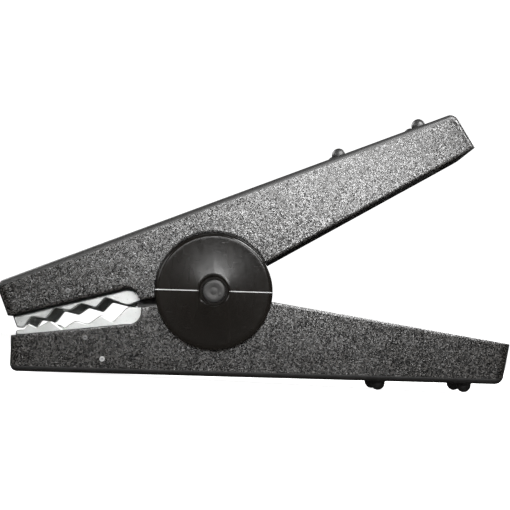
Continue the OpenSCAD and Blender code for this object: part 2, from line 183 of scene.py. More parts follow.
# One mesh object from its parts, which are given in a half's own axes round the pivot, in millimetres
def makePiece(name, parts, axes, finishName, stands, body=None):
    finish, slotName = finishes[finishName]
    points = np.concatenate([p["points"] for p in parts]) @ axes * mm + pivot
    faces, start = [], 0
    for part in parts:
        faces += [row for group in part["faces"] for row in (group + start).tolist()]
        start += len(part["points"])
    mesh = bpy.data.meshes.new(name)
    mesh.from_pydata(points.tolist(), [], faces)
    for mark in ("grain", "gate"):
        layer = mesh.attributes.new(mark, "FLOAT", "POINT")
        layer.data.foreach_set("value", np.concatenate([p[mark] for p in parts]).astype(np.float32))
    mesh.validate()
    mesh.shade_smooth()
    mesh.set_sharp_from_angle(angle=math.radians(surfaceValues["sharpAngle"]))
    mesh.materials.append(finish)
    piece = bpy.data.objects.new(name, mesh)
    bpy.context.scene.collection.objects.link(piece)
    if body:
        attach(piece, body)
    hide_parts(*stands)
    return piece


# A piece of one half that stands for one CAD node
def halfPiece(which, name, parts, finishName, stands):
    axes, body = halves[which]
    return makePiece(name, parts, axes, finishName, [stands], body)


# ---- finishes ----
# Wraps a socket, so that an expression on values adds its Math nodes
class Value:
    def __init__(self, nodes, socket):
        self.nodes, self.socket = nodes, socket

    def maths(self, operation, first, second):
        return self.nodes.node("ShaderNodeMath", {"operation": operation}, {0: first, 1: second})

    def __add__(self, other):
        return self.maths("ADD", self, other)

    def __sub__(self, other):
        return self.maths("SUBTRACT", self, other)

    def __mul__(self, other):
        return self.maths("MULTIPLY", self, other)

    def __radd__(self, other):
        return self.maths("ADD", other, self)

    def __rsub__(self, other):
        return self.maths("SUBTRACT", other, self)

    def __rmul__(self, other):
        return self.maths("MULTIPLY", other, self)


class Nodes:
    def __init__(self, owner):
        owner.use_nodes = True
        self.tree = owner.node_tree
        self.tree.nodes.clear()

    # Settings first, then values or links of the sockets
    def node(self, kind, settings, sockets, out=0):
        made = self.tree.nodes.new(kind)
        for key, value in settings.items():
            if key == "stops":
                ramp = made.color_ramp.elements
                while len(ramp) < len(value):
                    ramp.new(0.5)
                for element, (at, grey) in zip(ramp, value):
                    element.position, element.color = at, (grey, grey, grey, 1)
            else:
                setattr(made, key, value)
        for key, value in sockets.items():
            self.join(value, made.inputs[key])
        return Value(self, made.outputs[out])

    def join(self, value, socket):
        if isinstance(value, Value):
            self.tree.links.new(value.socket, socket)
        else:
            socket.default_value = value


class Finish(Nodes):
    def __init__(self, name):
        self.material = bpy.data.materials.new(name)
        super().__init__(self.material)
        self.shader = self.tree.nodes.new("ShaderNodeBsdfPrincipled")
        end = self.tree.nodes.new("ShaderNodeOutputMaterial")
        self.tree.links.new(self.shader.outputs[0], end.inputs[0])
        self.place = self.node("ShaderNodeTexCoord", {}, {}, "Object")

    def noise(self, size, detail=2.0, stretch=(1, 1, 1)):
        place = self.node("ShaderNodeMapping", {}, {"Vector": self.place, "Scale": stretch})
        return self.node("ShaderNodeTexNoise", {}, {"Vector": place, "Scale": 1 / (size * mm), "Detail": detail})

    def ramp(self, signal, stops):
        return self.node("ShaderNodeValToRGB", {"stops": stops}, {0: signal})

    def colour(self, factor, first, second):
        return self.node("ShaderNodeMix", {"data_type": "RGBA"}, {0: factor, 6: first, 7: second}, 2)

    def vector(self, operation, sockets):
        return self.node("ShaderNodeVectorMath", {"operation": operation}, sockets)

    def mark(self, name):
        return self.node("ShaderNodeAttribute", {"attribute_name": name}, {}, "Fac")

    def bump(self, height, depth, under=None):
        sockets = {"Height": height, "Distance": depth * mm, "Strength": 1.0}
        if under is not None:
            sockets["Normal"] = under
        return self.node("ShaderNodeBump", {}, sockets)

    def feed(self, **values):
        for key, value in values.items():
            self.join(value, self.shader.inputs[key.replace("_", " ")])
        return self.material


def tint(grey, warm=0.0):
    return (grey * (1 + warm), grey, grey * (1 - warm), 1)


mouldedValues = {
    "cellSize": 0.18,                           # mm across one facet of the grain
    "cellLean": 0.145,                          # how far a facet leans out of the face
    "specks": [(0.5, 0.0), (0.78, 1.0)],        # which facets are pale
    "speckShare": 0.9,
    "speckRough": 0.1,
    "grainSize": 0.2,                           # mm between the finer peaks between the facets
    "coarser": 1.7,
    "peaks": [(0.36, 0.0), (0.66, 1.0)],
    "fineShare": 0.6,
    "grainDepth": 0.006,
    "grainRough": 0.19,
    "blotchSize": 2.6,
    "blotchRough": 0.12,
    "blotchDepth": 0.02,
    "smoothGrey": 0.004,
    "smoothRough": 0.42,
    "gateTone": 0.3,                            # grey of the small gate marks
    "gateShare": 0.9,
    "refraction": 1.7,
}


# Black moulded plastic: eroded grain where the grain mark is 1, smooth where it is 0
def mouldedFinish(name, low, high, warm):
    v = mouldedValues
    f = Finish(name)
    grain = f.mark("grain")
    fine = f.noise(v["grainSize"], 0.5)
    coarse = f.noise(v["grainSize"] * v["coarser"], 1.0)
    blotch = f.noise(v["blotchSize"], 3.0)
    peaks = f.ramp(fine * v["fineShare"] + coarse * (1 - v["fineShare"]), v["peaks"])
    cells = f.node("ShaderNodeTexVoronoi", {}, {"Vector": f.place, "Scale": 1 / (v["cellSize"] * mm)}, "Color")
    specks = f.ramp(cells, v["specks"])
    offset = f.vector("SUBTRACT", {0: cells, 1: (0.5, 0.5, 0.5)})
    lean = f.vector("SCALE", {0: offset, "Scale": grain * v["cellLean"]})
    faceNormal = f.node("ShaderNodeNewGeometry", {}, {}, "Normal")
    facing = f.vector("NORMALIZE", {0: f.vector("ADD", {0: faceNormal, 1: lean})})
    level = specks * v["speckShare"] + blotch * (1 - v["speckShare"])
    pitted = f.colour(level, tint(low, warm), tint(high, warm))
    plain = f.colour(blotch, tint(v["smoothGrey"] * 0.7, warm), tint(v["smoothGrey"] * 1.5, warm))
    body = f.colour(grain, plain, pitted)
    body = f.colour(f.mark("gate") * v["gateShare"], body, tint(v["gateTone"]))
    grainRough = v["grainRough"] - v["smoothRough"] + specks * v["speckRough"]
    rough = v["smoothRough"] + blotch * v["blotchRough"] + grain * grainRough
    relief = f.bump(peaks * grain, v["grainDepth"], f.bump(blotch, v["blotchDepth"], facing))
    return f.feed(Base_Color=body, Roughness=rough, Normal=relief, IOR=v["refraction"])


capValues = {
    "grey": 0.005, "warm": 0.16, "rough": 0.13, "refraction": 1.46, "shine": 0.24,
    "flowSize": 3.4, "flowStretch": (1, 1, 0.35), "flowDepth": 0.09,
    "hazeSize": 0.5, "hazeRough": 0.12,
    "scratchSize": 0.16, "scratchStretch": (0.08, 1, 1), "scratches": [(0.7, 0.0), (0.76, 1.0)],
    "scratchTone": 0.05, "scratchShare": 0.1, "scratchRough": 0.06, "scratchDepth": 0.0015,
    "seamTone": 0.5,
}


# Smooth black plastic with faint flow marks and fine handling scratches
def capFinish():
    v = capValues
    f = Finish("capPlastic")
    flow = f.noise(v["flowSize"], 2.0, v["flowStretch"])
    haze = f.noise(v["hazeSize"], 3.0)
    scratch = f.ramp(f.noise(v["scratchSize"], 1.0, v["scratchStretch"]), v["scratches"])
    body = f.colour(flow, tint(v["grey"] * 0.6, v["warm"]), tint(v["grey"] * 1.6, v["warm"]))
    body = f.colour(scratch * v["scratchShare"], body, tint(v["scratchTone"], v["scratchTone"]))
    body = f.colour(f.mark("gate"), body, tint(v["seamTone"]))
    rough = v["rough"] + haze * v["hazeRough"] + scratch * v["scratchRough"]
    relief = f.bump(scratch, v["scratchDepth"], f.bump(flow, v["flowDepth"]))
    return f.feed(Base_Color=body, Roughness=rough, Normal=relief, IOR=v["refraction"], Specular_IOR_Level=v["shine"])


metalValues = {
    "cloudSize": 1.8, "cloudShare": 0.65, "cloudRough": 0.14, "marksRough": 0.1,
    "speckSize": 0.35, "specks": [(0.64, 0.0), (0.74, 1.0)], "speckShare": 0.3, "speckRough": 0.12,
}


# Metal: a tone that wanders a little, fine drawn or tumbled marks, and duller patches
def metalFinish(name, dark, light, rough, size=0.25, stretch=(1, 1, 1), depth=0.006, metallic=1.0):
    v = metalValues
    f = Finish(name)
    cloud = f.noise(v["cloudSize"], 3.0)
    marks = f.noise(size, 2.0, stretch)
    specks = f.ramp(f.noise(v["speckSize"], 2.0), v["specks"])
    body = f.colour(cloud * v["cloudShare"] + marks * (1 - v["cloudShare"]), dark, light)
    body = f.colour(specks * v["speckShare"], body, tint(0.12, 0.06))
    roughness = rough + (cloud - 0.5) * v["cloudRough"] + marks * v["marksRough"] + specks * v["speckRough"]
    return f.feed(Base_Color=body, Roughness=roughness, Metallic=metallic, Normal=f.bump(marks, depth))


plainValues = {"cloudSize": 2.2, "cloudShare": 0.6, "fineRough": 0.12, "refraction": 1.48}


# Soft or hard plastic and rubber for the small inner pieces
def plainFinish(name, dark, light, rough, depth=0.02, size=0.3):
    v = plainValues
    f = Finish(name)
    cloud = f.noise(v["cloudSize"], 3.0)
    fine = f.noise(size, 2.0)
    body = f.colour(cloud * v["cloudShare"] + fine * (1 - v["cloudShare"]), dark, light)
    roughness = rough + fine * v["fineRough"]
    return f.feed(Base_Color=body, Roughness=roughness, Normal=f.bump(fine, depth), IOR=v["refraction"])


# Each finish with the name of a material slot
finishes = {
    "shell": (mouldedFinish("shellPlastic", 0.0005, 0.034, 0.1), "shell_plastic"),
    "cap": (capFinish(), "cap_plastic"),
    "jaw": (metalFinish("jawMetal", (0.55, 0.56, 0.55, 1), (0.76, 0.77, 0.76, 1), 0.36, 0.16, (1, 0.12, 1)),
            "jaw_metal"),
    "pin": (metalFinish("pinSteel", (0.016, 0.0156, 0.0152, 1), (0.042, 0.041, 0.04, 1), 0.36, 0.2, metallic=0.5),
            "pin_steel"),
    "spring": (metalFinish("springSteel", (0.42, 0.43, 0.45, 1), (0.72, 0.73, 0.74, 1), 0.28, 0.12), "spring_steel"),
    "screw": (metalFinish("zincSteel", (0.48, 0.48, 0.46, 1), (0.78, 0.78, 0.74, 1), 0.3, 0.2), "fastener_steel"),
    "brass": (metalFinish("turnedBrass", (0.5, 0.34, 0.1, 1), (0.85, 0.66, 0.28, 1), 0.27, 0.1), "brass"),
    "nylon": (plainFinish("nylon", (0.5, 0.47, 0.36, 1), (0.74, 0.71, 0.6, 1), 0.42), "nylon"),
    "clamp": (plainFinish("clampPlastic", tint(0.02), tint(0.055), 0.45), "clamp_plastic"),
    "rubber": (plainFinish("grommetRubber", tint(0.006), tint(0.02), 0.62, 0.03, 0.2), "grommet_rubber"),
}
print("finishes ready:", len(finishes))


# ---- shells ----
shellValues = {
    "halfWidth": 7.0, "back": 13.5, "front": -32.1, "rear": 47.4, "taper": 8.5, "slotTaper": 14.0, "lean": 10.0,
    "sideWall": 1.6, "backWall": 1.8, "frontWall": 0.9, "rearWall": 1.6,
    "longRound": 0.8, "endRound": 1.2, "rim": 0.12, "innerRound": 0.3, "tightRound": 0.06,
    "leanFrom": 36.0,                                   # X behind which the walls lean with the rear wall
    "windowAt": (-13.5, 3.55), "windowRound": 2.0, "windowSlope": 7.1,
    "lap": [(-12.4, 3.8), (-12.4, 1.35), (-9.2, 0.75), (-8.5, 0.75), (-8.5, 3.2)],      # web ahead of the hub
    "lapThick": 0.58, "lapDrop": 0.02, "ribThick": 0.9, "ribDrop": 0.7,
    "ear": 9.1, "clearing": 9.4, "rib": 10.9, "earLayer": (-5.0, -3.5),
    "postAt": 33.0, "postGauge": 3.6, "postRound": 1.5, "postFoot": 8.15, "screwHole": 0.63,
    "nubsAt": (26.8, 40.7), "nubGauge": 3.8, "nub": 1.15, "nubHigh": 1.5,
    "inletHeight": 9.5, "inlet": 1.88, "backGrain": 0.45, "innerGrain": 0.3,
    "earSpread": 0.3, "clearSpread": 0.6, "stepSpread": 0.5,    # how much an edge shifts on its way up to the back
    "edgeSteps": {"window": 60, "round": 18, "step": 4, "short": 8, "arc": 72, "flat": 5, "handle": 90},
    "gateHigh": 0.035,
    # Each gate mark's X, Z, radius and strength on the near side of its half
    "gates": {"lower": [(-17.4, 11.2, 0.42, 1.0), (-20.2, 7.9, 0.38, 0.35)], "upper": [(-21.7, 8.2, 0.42, 0.3)]},
}
sv = shellValues
taper, slotTaper, lean, windowSlope = (
    math.tan(math.radians(sv[k])) for k in ("taper", "slotTaper", "lean", "windowSlope"))
windowAngle = math.radians(90 + sv["windowSlope"])
windowTop = (sv["windowAt"][0] + sv["windowRound"] * math.cos(windowAngle),
             sv["windowAt"][1] + sv["windowRound"] * math.sin(windowAngle))
rearZ = sv["rear"] * taper
neck = sv["rearWall"] / math.cos(math.radians(sv["lean"]))


def windowEdge(x):
    return windowTop[1] + (windowTop[0] - x) * windowSlope


def stretchOf(start, end, count):
    return np.linspace(start, end, count, endpoint=False)


# The inner edge of a side wall from front to rear, and for each point the X at which its line ends at the back:
# window edge, round end, step, short edge, the ear's arc (lobed) or the arc cleared for the other ear, handle edge
def sideEdge(lobed):
    c, r, count = sv["windowAt"], sv["windowRound"], sv["edgeSteps"]
    x0 = stretchOf(sv["front"] + sv["endRound"], windowTop[0], count["window"])
    a = stretchOf(windowAngle, 0, count["round"])
    step = c[0] + r
    ahead = step - sv["stepSpread"]
    side = sv["ear"] if lobed else sv["clearing"]
    cut = side if lobed else side * math.cos(math.atan(slotTaper))
    rearCut = side if lobed else side * math.cos(math.atan(taper))
    spread, clear = sv["earSpread"], sv["clearSpread"]
    widen = 0.0 if lobed else clear
    pieces = [
        (x0, windowEdge(x0), x0),
        (c[0] + r * np.cos(a), c[1] + r * np.sin(a), stretchOf(windowTop[0], ahead, count["round"])),
        (np.full(count["step"], step), stretchOf(c[1], -step * slotTaper, count["step"]),
         stretchOf(ahead, step, count["step"])),
        (stretchOf(step, -cut, count["short"]), stretchOf(step, -cut, count["short"]) * -slotTaper,
         stretchOf(step, -cut - widen, count["short"])),
    ]
    if lobed:
        a, flat = stretchOf(halfTurn, 2 * halfTurn, count["arc"]), count["flat"]
        pieces += [
            (np.full(flat, -side), stretchOf(side * slotTaper, 0, flat), stretchOf(-side, -side + spread, flat)),
            (side * np.cos(a), side * np.sin(a), (side - spread) * np.cos(a)),
            (np.full(flat, side), stretchOf(0, side * taper, flat), stretchOf(side - spread, side, flat)),
        ]
    else:
        a = stretchOf(halfTurn - math.atan(slotTaper), math.atan(taper), count["arc"])
        pieces.append((side * np.cos(a), side * np.sin(a), side * np.cos(a) * (1 + clear / cut)))
    x1 = np.linspace(rearCut, sv["rear"] - sv["endRound"], count["handle"])
    pieces.append((x1, x1 * taper, np.linspace(rearCut + widen, x1[-1], count["handle"])))
    x, z, top = (np.concatenate([p[k] for p in pieces]) for k in range(3))
    dx, dz = np.gradient(x), np.gradient(z)
    length = np.hypot(dx, dz)
    return x, z, top, -dz / length, dx / length


# A tub: rings round the walls, from the middle of the back, over the rounded edge, down the outside,
# over the rim and up the inside to the floor. Each ring runs along one side, round the rear, back and round the front.
def shellTub():
    half, inner = sv["halfWidth"], sv["halfWidth"] - sv["sideWall"]
    floor = sv["back"] - sv["backWall"]
    a, b = sv["endRound"], sv["longRound"]
    soft, tight = sv["innerRound"], sv["tightRound"]
    quarter = np.linspace(0, halfTurn / 2, 8)
    across = np.linspace(-half + b, half - b, 18)[1:-1]
    stations = []

    # outer and inner plan places at the rim and at the top, rim height, rim normal, roundings, share of the rear's lean
    def station(rimX, rimY, topX, inX, inY, inTopX, z, mx, mz, ox, oy, ux, uy, high, share):
        n = len(np.atleast_1d(z))
        stations.append(np.stack([np.broadcast_to(np.asarray(q, float), (n,)) for q in (
            rimX, rimY, topX, inX, inY, inTopX, z, mx, mz, ox, oy, ux, uy, high, share)], -1))

    def side(sign, lobed):
        x, z, top, mx, mz = sideEdge(lobed)
        start = sv["leanFrom"]
        share, topShare = (np.clip((q - start) / (sv["rear"] - a - start), 0, 1) for q in (x, top))
        back = sv["rear"] - a - (sv["rear"] - neck - soft)
        columns = [x, sign * half, top, x - back * share, sign * inner, top - back * topShare, z, mx, mz,
                   0, -sign * (b - tight), 0, -sign * (soft - tight), b, topShare]
        return [np.broadcast_to(np.asarray(q, float), x.shape) for q in columns]

    def corner(xSign, ySign, phi):
        atX = sv["rear"] - a if xSign > 0 else sv["front"] + a
        inX = sv["rear"] - neck - soft if xSign > 0 else sv["front"] + sv["frontWall"] + soft
        c, s = xSign * np.cos(phi), ySign * np.sin(phi)
        x, y = atX + a * c, ySign * (half - b) + b * s
        ix, iy = inX + soft * c, ySign * (inner - soft) + soft * s
        z = x * taper if xSign > 0 else windowEdge(x)
        station(x, y, x, ix, iy, ix, z, 0, 1, -(a - tight) * c, -(b - tight) * s,
                -(soft - tight) * c, -(soft - tight) * s, b + (a - b) * np.cos(phi) ** 2, float(xSign > 0))

    def end(xSign, y):
        x = sv["rear"] if xSign > 0 else sv["front"]
        ix = sv["rear"] - neck if xSign > 0 else sv["front"] + sv["frontWall"]
        z = np.full(len(y), rearZ if xSign > 0 else windowEdge(x))
        iy = y * (inner - soft) / (half - b)
        station(x, y, x, ix, iy, ix, z, 0, 1, -xSign * (a - tight), 0,
                -xSign * (soft - tight), 0, a, float(xSign > 0))

    station(*side(-1, False))
    corner(1, -1, quarter[::-1][1:])
    end(1, across)
    corner(1, 1, quarter[:-1])
    station(*[q[::-1] for q in side(1, True)])
    corner(-1, 1, quarter[::-1][1:])
    end(-1, across[::-1])
    corner(-1, -1, quarter[:-1])
    rimX, rimY, topX, inX, inY, inTopX, z, mx, mz, ox, oy, ux, uy, high, share = np.concatenate(stations).T

    def leaned(x, height):
        return x - share * (height - rearZ) * lean

    rows, grain = [], []
    flat = (np.abs(ox) < a * 0.6).astype(float)     # 1 along the sides and into their corners, 0 round the ends

    def row(x, y, height, mark):
        rows.append(np.stack(np.broadcast_arrays(leaned(x, height), y, height), -1))
        grain.append(mark * (flat if mark > 0.5 else 1.0) + 0 * flat)

    # From the middle of the back over the rounded edge
    backRows = [(0.04, 90, sv["backGrain"]), (0.0, 90, sv["backGrain"])]
    for extra, t, mark in backRows + [(0.0, t, 0.0) for t in (78, 64, 50, 37, 25, 12, 0)]:
        t = math.radians(t)
        share0 = (1 - math.cos(t)) + extra
        row(topX + ox * share0, rimY + oy * share0, sv["back"] - high * (1 - math.sin(t)), mark)
    # Down the outside: rings just under the rounded edge, half way, and just above the rim
    rim = sv["rim"]
    tall = sv["back"] - high - z
    for f in (0.1 / tall, 0.5 + 0 * z, 1 - 0.35 / tall):
        low = z + mz * rim
        top = sv["back"] - high
        row(topX + (rimX + mx * rim - topX) * f, rimY + 0 * f, top + (low - top) * f, 1.0)
    # Over the rim: across the wall (d), outward from it (h) and how grained it is
    wallX, wallY = inX - rimX, inY - rimY
    width = np.hypot(wallX, wallY)
    diagonal, innerGrain = 1 - math.sqrt(0.5), sv["innerGrain"]
    rimRows = [(0, 1, 1.0), (diagonal, diagonal, 0.8), (1, 0, 0.4), (-1, 0, 0.0), (-diagonal, diagonal, 0.0),
               (0, 1, innerGrain)]
    for d, h, mark in rimRows:
        inside = d < 0 or (d == 0 and mark < 0.5)
        f = 1 + d * rim / width if inside else d * rim / width
        row(rimX + wallX * f + mx * h * rim, rimY + wallY * f, z + mz * h * rim, mark)
    # Up the inside and into the floor
    tall = floor - soft - z
    for f in (0.3 / tall, 0.5 + 0 * z, 1 - 0.1 / tall, 1.0 + 0 * z):
        low = z + mz * rim
        row(inX + mx * rim + (inTopX - inX - mx * rim) * f, inY + 0 * f, low + (floor - soft - low) * f, innerGrain)
    for t, extra in ((30, 0), (60, 0), (90, 0), (90, 0.1)):
        t = math.radians(t)
        share0 = (1 - math.cos(t)) + extra
        row(inTopX + ux * share0, inY + uy * share0, floor - soft * (1 - math.sin(t)), innerGrain)
    return skin(np.array(rows), grain=np.array(grain))


# An outline of arcs round the pivot, each with its radius, start and end in degrees and number of points
def arcOutline(spans):
    return np.concatenate([np.column_stack([r * np.cos(a), r * np.sin(a)]) for r, a in
                           ((r, np.radians(np.linspace(s, e, n))) for r, s, e, n in spans)])


# What stands on or in the tub: ear, rib, web, screw posts, grip nubs and gate marks
def shellExtras(nearSide, gates):
    slot, handle = math.degrees(math.atan(slotTaper)), sv["taper"]
    low, high = sv["earLayer"]
    ear = arcOutline([(sv["rib"], handle, 180 - slot, 60), (sv["ear"], 180 - slot, 360 + handle, 80)])
    rib = arcOutline([(sv["rib"] - 0.02, handle, 180 - slot, 60), (sv["clearing"], 180 - slot, handle, 60)])
    floor = sv["back"] - sv["backWall"]
    ribLow, lapHigh = low - sv["ribDrop"], high - sv["lapDrop"]
    parts = [plate(ear, low, high, 0.1), plate(rib, ribLow, ribLow + sv["ribThick"], 0.05),
             plate(np.array(sv["lap"]), lapHigh - sv["lapThick"], lapHigh, 0.06)]
    hole, post, foot, edge = sv["screwHole"], sv["postRound"], sv["postFoot"], 0.12
    postProfile = [(hole, floor + 0.2), (hole, foot + edge), (hole + edge, foot), (post - edge, foot),
                   (post, foot + edge), (post, floor - 0.3), (post + 0.09, floor - 0.09),
                   (post + 0.3, floor + 0.02), (post + 0.3, floor + 0.2)]
    t = np.radians(np.linspace(0, 86, 9))
    n, back = sv["nub"], sv["back"]
    h = back + sv["nubHigh"] - n
    nubProfile = [(n + 0.3, back - 0.3), (n + 0.3, back - 0.01), (n + edge, back + 0.05), (n, back + 0.2),
                  *zip(n * np.cos(t), h + n * np.sin(t))]
    for sign in (-1, 1):
        parts.append(turned(postProfile, (sv["postAt"], sign * sv["postGauge"], 0), steps=32, ring=True))
        parts += [turned(nubProfile, (at, sign * sv["nubGauge"], 0), steps=32) for at in sv["nubsAt"]]
    face = nearSide * sv["halfWidth"]
    for x, z, r, strong in gates:
        spot = [(r, face - 0.1 * nearSide), (r, face + 0.015 * nearSide), (r - 0.08, face + sv["gateHigh"] * nearSide),
                (r * 0.4, face + 0.03 * nearSide), (r * 0.3, face)]
        parts.append(turned(spot, (x, 0, z), "y", 24, gate=strong))
    return parts


# The tub with the inlet bored through its rear wall
def cutInlet(tub, axes):
    rear = sv["rear"]
    bar = turned([(sv["inlet"], rear - 5), (sv["inlet"], rear + 3)], (0, 0, sv["inletHeight"]), "x", 64)
    body = makePiece("tubBlank", [tub], axes, "shell", [])
    cutter = makePiece("inletCutter", [bar], axes, "shell", [])
    bore = body.modifiers.new("inlet", "BOOLEAN")
    bore.object, bore.operation, bore.solver = cutter, "DIFFERENCE", "EXACT"
    cut = bpy.data.meshes.new_from_object(body.evaluated_get(bpy.context.evaluated_depsgraph_get()))
    points = np.zeros(len(cut.vertices) * 3)
    cut.vertices.foreach_get("co", points)
    grain = np.zeros(len(cut.vertices))
    cut.attributes["grain"].data.foreach_get("value", grain)
    points = (points.reshape(-1, 3) - pivot) / mm @ axes.T
    sizes = {}
    for face in cut.polygons:
        sizes.setdefault(len(face.vertices), []).append(list(face.vertices))
    for made in (body, cutter):
        bpy.data.objects.remove(made)
    faces = [np.array(group) for group in sizes.values()]
    return {"points": points, "faces": faces, "grain": grain, "gate": np.zeros(len(points))}


tub = shellTub()
for which, nearSide in (("lower", 1), ("upper", -1)):
    parts = [cutInlet(tub, halves[which][0])] + shellExtras(nearSide, sv["gates"][which])
    halfPiece(which, which + "Shell", parts, "shell", which + "_shell")
print("shells ready")


# ---- toothed jaws ----
jawValues = {
    "halfWidth": 5.0, "sheet": 0.8, "floor": 11.7, "nose": -31.6, "front": -31.15, "step": 7.72, "rear": -11.1,
    "lobe": 2.75, "lobeFront": -13.8, "firstTooth": -18.7, "pitch": 4.05,
    "tips": (4.2, 5.2, 5.3), "notches": (5.2, 5.7, 6.6, 6.5),           # from rear to nose
    "toothRound": 0.32, "rim": 0.17, "fold": 0.6, "foldRim": 0.12,
    "tailHalf": 3.2, "tailEnd": 23.0, "shift": {"lower": 0.65, "upper": 0.0},
    # Side view of what closes at the nose: the lower half's step and the upper half's long tooth
    "noseTooth": {"lower": [(-29.68, 5.8), (-30.24, 6.86), (-31.6, 6.96)], "upper": [(-30.64, 5.24), (-31.6, 5.64)]},
    "stagger": {"lower": 0.45, "upper": -0.45},     # how far outward the far wall's bite is set from the near wall's
}
jv = jawValues


# Side view of a jaw wall: lobe, teeth from rear to nose, nose and step, with every corner softened
def jawOutline(which, stagger):
    corner = np.arange(7)
    heights = np.zeros(7)
    heights[::2], heights[1::2] = jv["notches"], jv["tips"]
    teeth = np.column_stack([jv["firstTooth"] + jv["shift"][which] + (1 - corner) * jv["pitch"] / 2, heights])
    start = [(jv["rear"], jv["floor"]), (jv["rear"], jv["lobe"]), (jv["lobeFront"], jv["lobe"])]
    teeth = np.concatenate([teeth, jv["noseTooth"][which]]) + [0, stagger]
    end = [(jv["nose"], jv["step"]), (jv["front"], jv["step"]), (jv["front"], jv["floor"])]
    radii = [0.2, 0.7, 0.5] + [jv["toothRound"]] * 7 + [0.25] * len(jv["noseTooth"][which]) + [0.12, 0.1, 0.2]
    return softCorners(np.concatenate([start, teeth, end]), radii, 5)


# Two toothed walls, the sheet between them with its tail, and the short front wall
def jawParts(which):
    half, sheet, floor, rim = jv["halfWidth"], jv["sheet"], jv["floor"], jv["rim"]
    walls = [jawOutline(which, 0.0), jawOutline(which, jv["stagger"][which])]
    farSide = {"lower": -1, "upper": 1}[which]
    front, rear, tail, tailEnd = jv["front"], jv["rear"], jv["tailHalf"], jv["tailEnd"]
    wide, narrow = half - 0.05, half - 0.02
    roof = softCorners([(front, -wide), (rear, -wide), (rear, -tail), (tailEnd, -tail),
                        (tailEnd, tail), (rear, tail), (rear, wide), (front, wide)],
                       [0.1, 0.4, 0.5, 1.6, 1.6, 0.5, 0.4, 0.1], 6)
    apronLow, apronHigh = jv["step"] - jv["fold"], floor - 0.03
    apron = softCorners([(-narrow, apronLow), (narrow, apronLow), (narrow, apronHigh), (-narrow, apronHigh)], 0.2)
    middle = half - sheet / 2
    parts = [plate(wall, y - sheet / 2, y + sheet / 2, rim)
             for wall, y in zip(walls, (-farSide * middle, farSide * middle))]
    return parts + [plate(roof, floor - sheet, floor - 0.005, jv["foldRim"], "xyz"),
                    plate(apron, front + 0.01, front + sheet, jv["foldRim"], "yzx")]


for which in halves:
    halfPiece(which, which + "Jaw", jawParts(which), "jaw", which + "_jaw")
print("jaws ready")


# ---- hub: caps, pin, rings, sleeve and washers ----
hubValues = {
    "cap": 9.3, "capLow": 7.0, "capHigh": 8.5, "capRound": 0.7, "recess": 2.35, "recessFloor": 8.0, "lip": 0.06,
    "seamWidth": 0.14, "seamHigh": 0.08, "seamSink": 0.02, "seamSteps": 12,
    "pin": 1.85, "pinEnd": 8.15, "pinRound": 0.22, "pinFit": 0.03, "sprue": 0.28, "sprueAt": (0.95, 0, 0.5),
    "ring": 3.2, "ringThick": 0.5, "ringFit": 0.05, "sleeve": 3.1, "sleeveEnd": 3.45, "sleeveRound": 0.25,
    "washer": 5.5, "washerLow": 5.05, "washerHigh": 5.35, "fit": 0.06,
}
hv = hubValues


# Radius and height round a cap: bore, underside, rounded edge, face, the recess's low lip and its wall
def capSection():
    t = np.linspace(0, halfTurn / 2, 9)
    c, top, r, low = hv["cap"], hv["capHigh"], hv["capRound"], hv["capLow"]
    recess, floor, bore = hv["recess"], hv["recessFloor"], hv["pin"] + hv["pinFit"]
    bevel = [(c - r + r * math.cos(a), top - r + r * math.sin(a)) for a in t]
    lip = [(recess + 0.5, top), (recess + 0.34, top + 0.03), (recess + 0.18, top + hv["lip"])]
    edge = [(recess + 0.06, top - 0.02), (recess, top - 0.1), (recess, floor + 0.12), (recess - 0.12, floor)]
    start = [(bore, floor), (bore, low + 0.01), (c - 0.12, low + 0.01), (c, low + 0.13)]
    return start + bevel + [(c - r - 0.3, top)] + lip + edge


# The seam stands on the cap's face and runs down over its rounded edge: a low arch carried along the section
def seamPart(sign):
    count, sink = hv["seamSteps"], hv["seamSink"]
    a = np.linspace(0, halfTurn / 2 * 0.98, count)[::-1]
    r, top, edge = hv["capRound"], hv["capHigh"], hv["cap"] - hv["capRound"]
    flat = np.linspace(hv["recess"] + 0.1, edge, count, endpoint=False)
    reach = np.concatenate([flat, edge + (r - sink) * np.cos(a)])
    high = np.concatenate([np.full(count, top - sink), top - r + (r - sink) * np.sin(a)])
    outX, outY = np.gradient(reach), np.gradient(high)
    length = np.hypot(outX, outY)
    t = np.linspace(0, 2 * halfTurn, 12, endpoint=False)
    lift, across = hv["seamHigh"] * np.sin(t), hv["seamWidth"] / 2 * np.cos(t)
    x = sign * (reach[:, None] - (outY / length)[:, None] * lift)
    y = high[:, None] + (outX / length)[:, None] * lift
    return skin(np.stack([x, y, np.broadcast_to(across, x.shape)], -1), gate=1.0)


# A ring's section with softened corners, turned about the pin
def ringAbout(inner, outer, low, high, soft=0.08, centre=(0, 0, 0), axis="y"):
    section = softCorners([(inner, low), (outer, low), (outer, high), (inner, high)], soft, 3)
    return turned(section, centre, axis, ring=True)


sides = (("near", "lower"), ("far", "upper"))
for name, which in sides:
    parts = [turned(capSection(), axis="y", steps=160, ring=True), seamPart(1), seamPart(-1)]
    halfPiece(which, name + "HubCap", parts, "cap", name + "_hub_cap")

